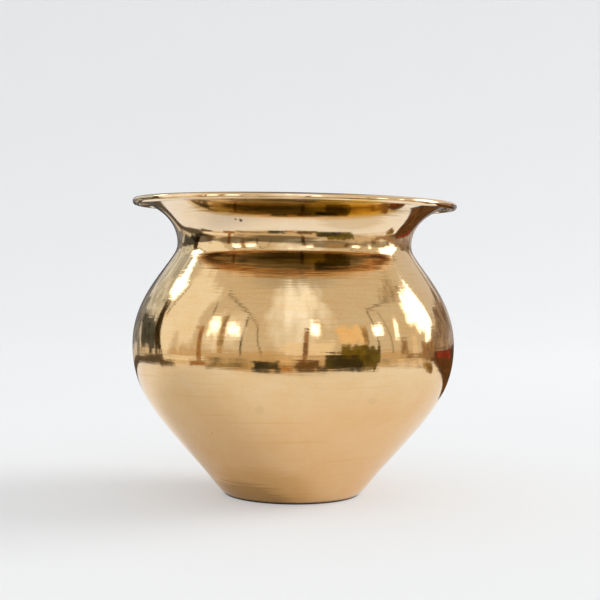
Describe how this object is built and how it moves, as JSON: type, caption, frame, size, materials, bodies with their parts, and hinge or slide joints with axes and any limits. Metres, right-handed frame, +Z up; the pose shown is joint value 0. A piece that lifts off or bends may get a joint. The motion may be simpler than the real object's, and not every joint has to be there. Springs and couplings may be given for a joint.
{
  "type": "brass lota",
  "caption": "Round-bellied brass water pot with a conical lower wall, narrow throat and wide flared mouth with a rolled rim, for carrying and pouring water.",
  "frame": {"origin": "on the pot's axis, in the plane of the foot ring that it stands on", "axes": "+Z up the pot's axis, +X and +Y level; the picture looks along +Y"},
  "size_m": [0.12, 0.12, 0.109],
  "materials": {
    "bowl_brass": "turned and polished, slightly satin",
    "shoulder_brass": "turned and polished bright, with fine turning lines",
    "neck_brass": "turned and polished bright, with fine turning lines",
    "wire_brass": "drawn wire",
    "braze_alloy": "as flowed, matt"
  },
  "bodies": {
    "root": {"lower_bowl": "bowl_brass", "shoulder": "shoulder_brass", "neck_and_mouth": "neck_brass", "rim_wire": "wire_brass", "belly_braze": "braze_alloy", "throat_braze": "braze_alloy"}
  },
  "joints": []
}
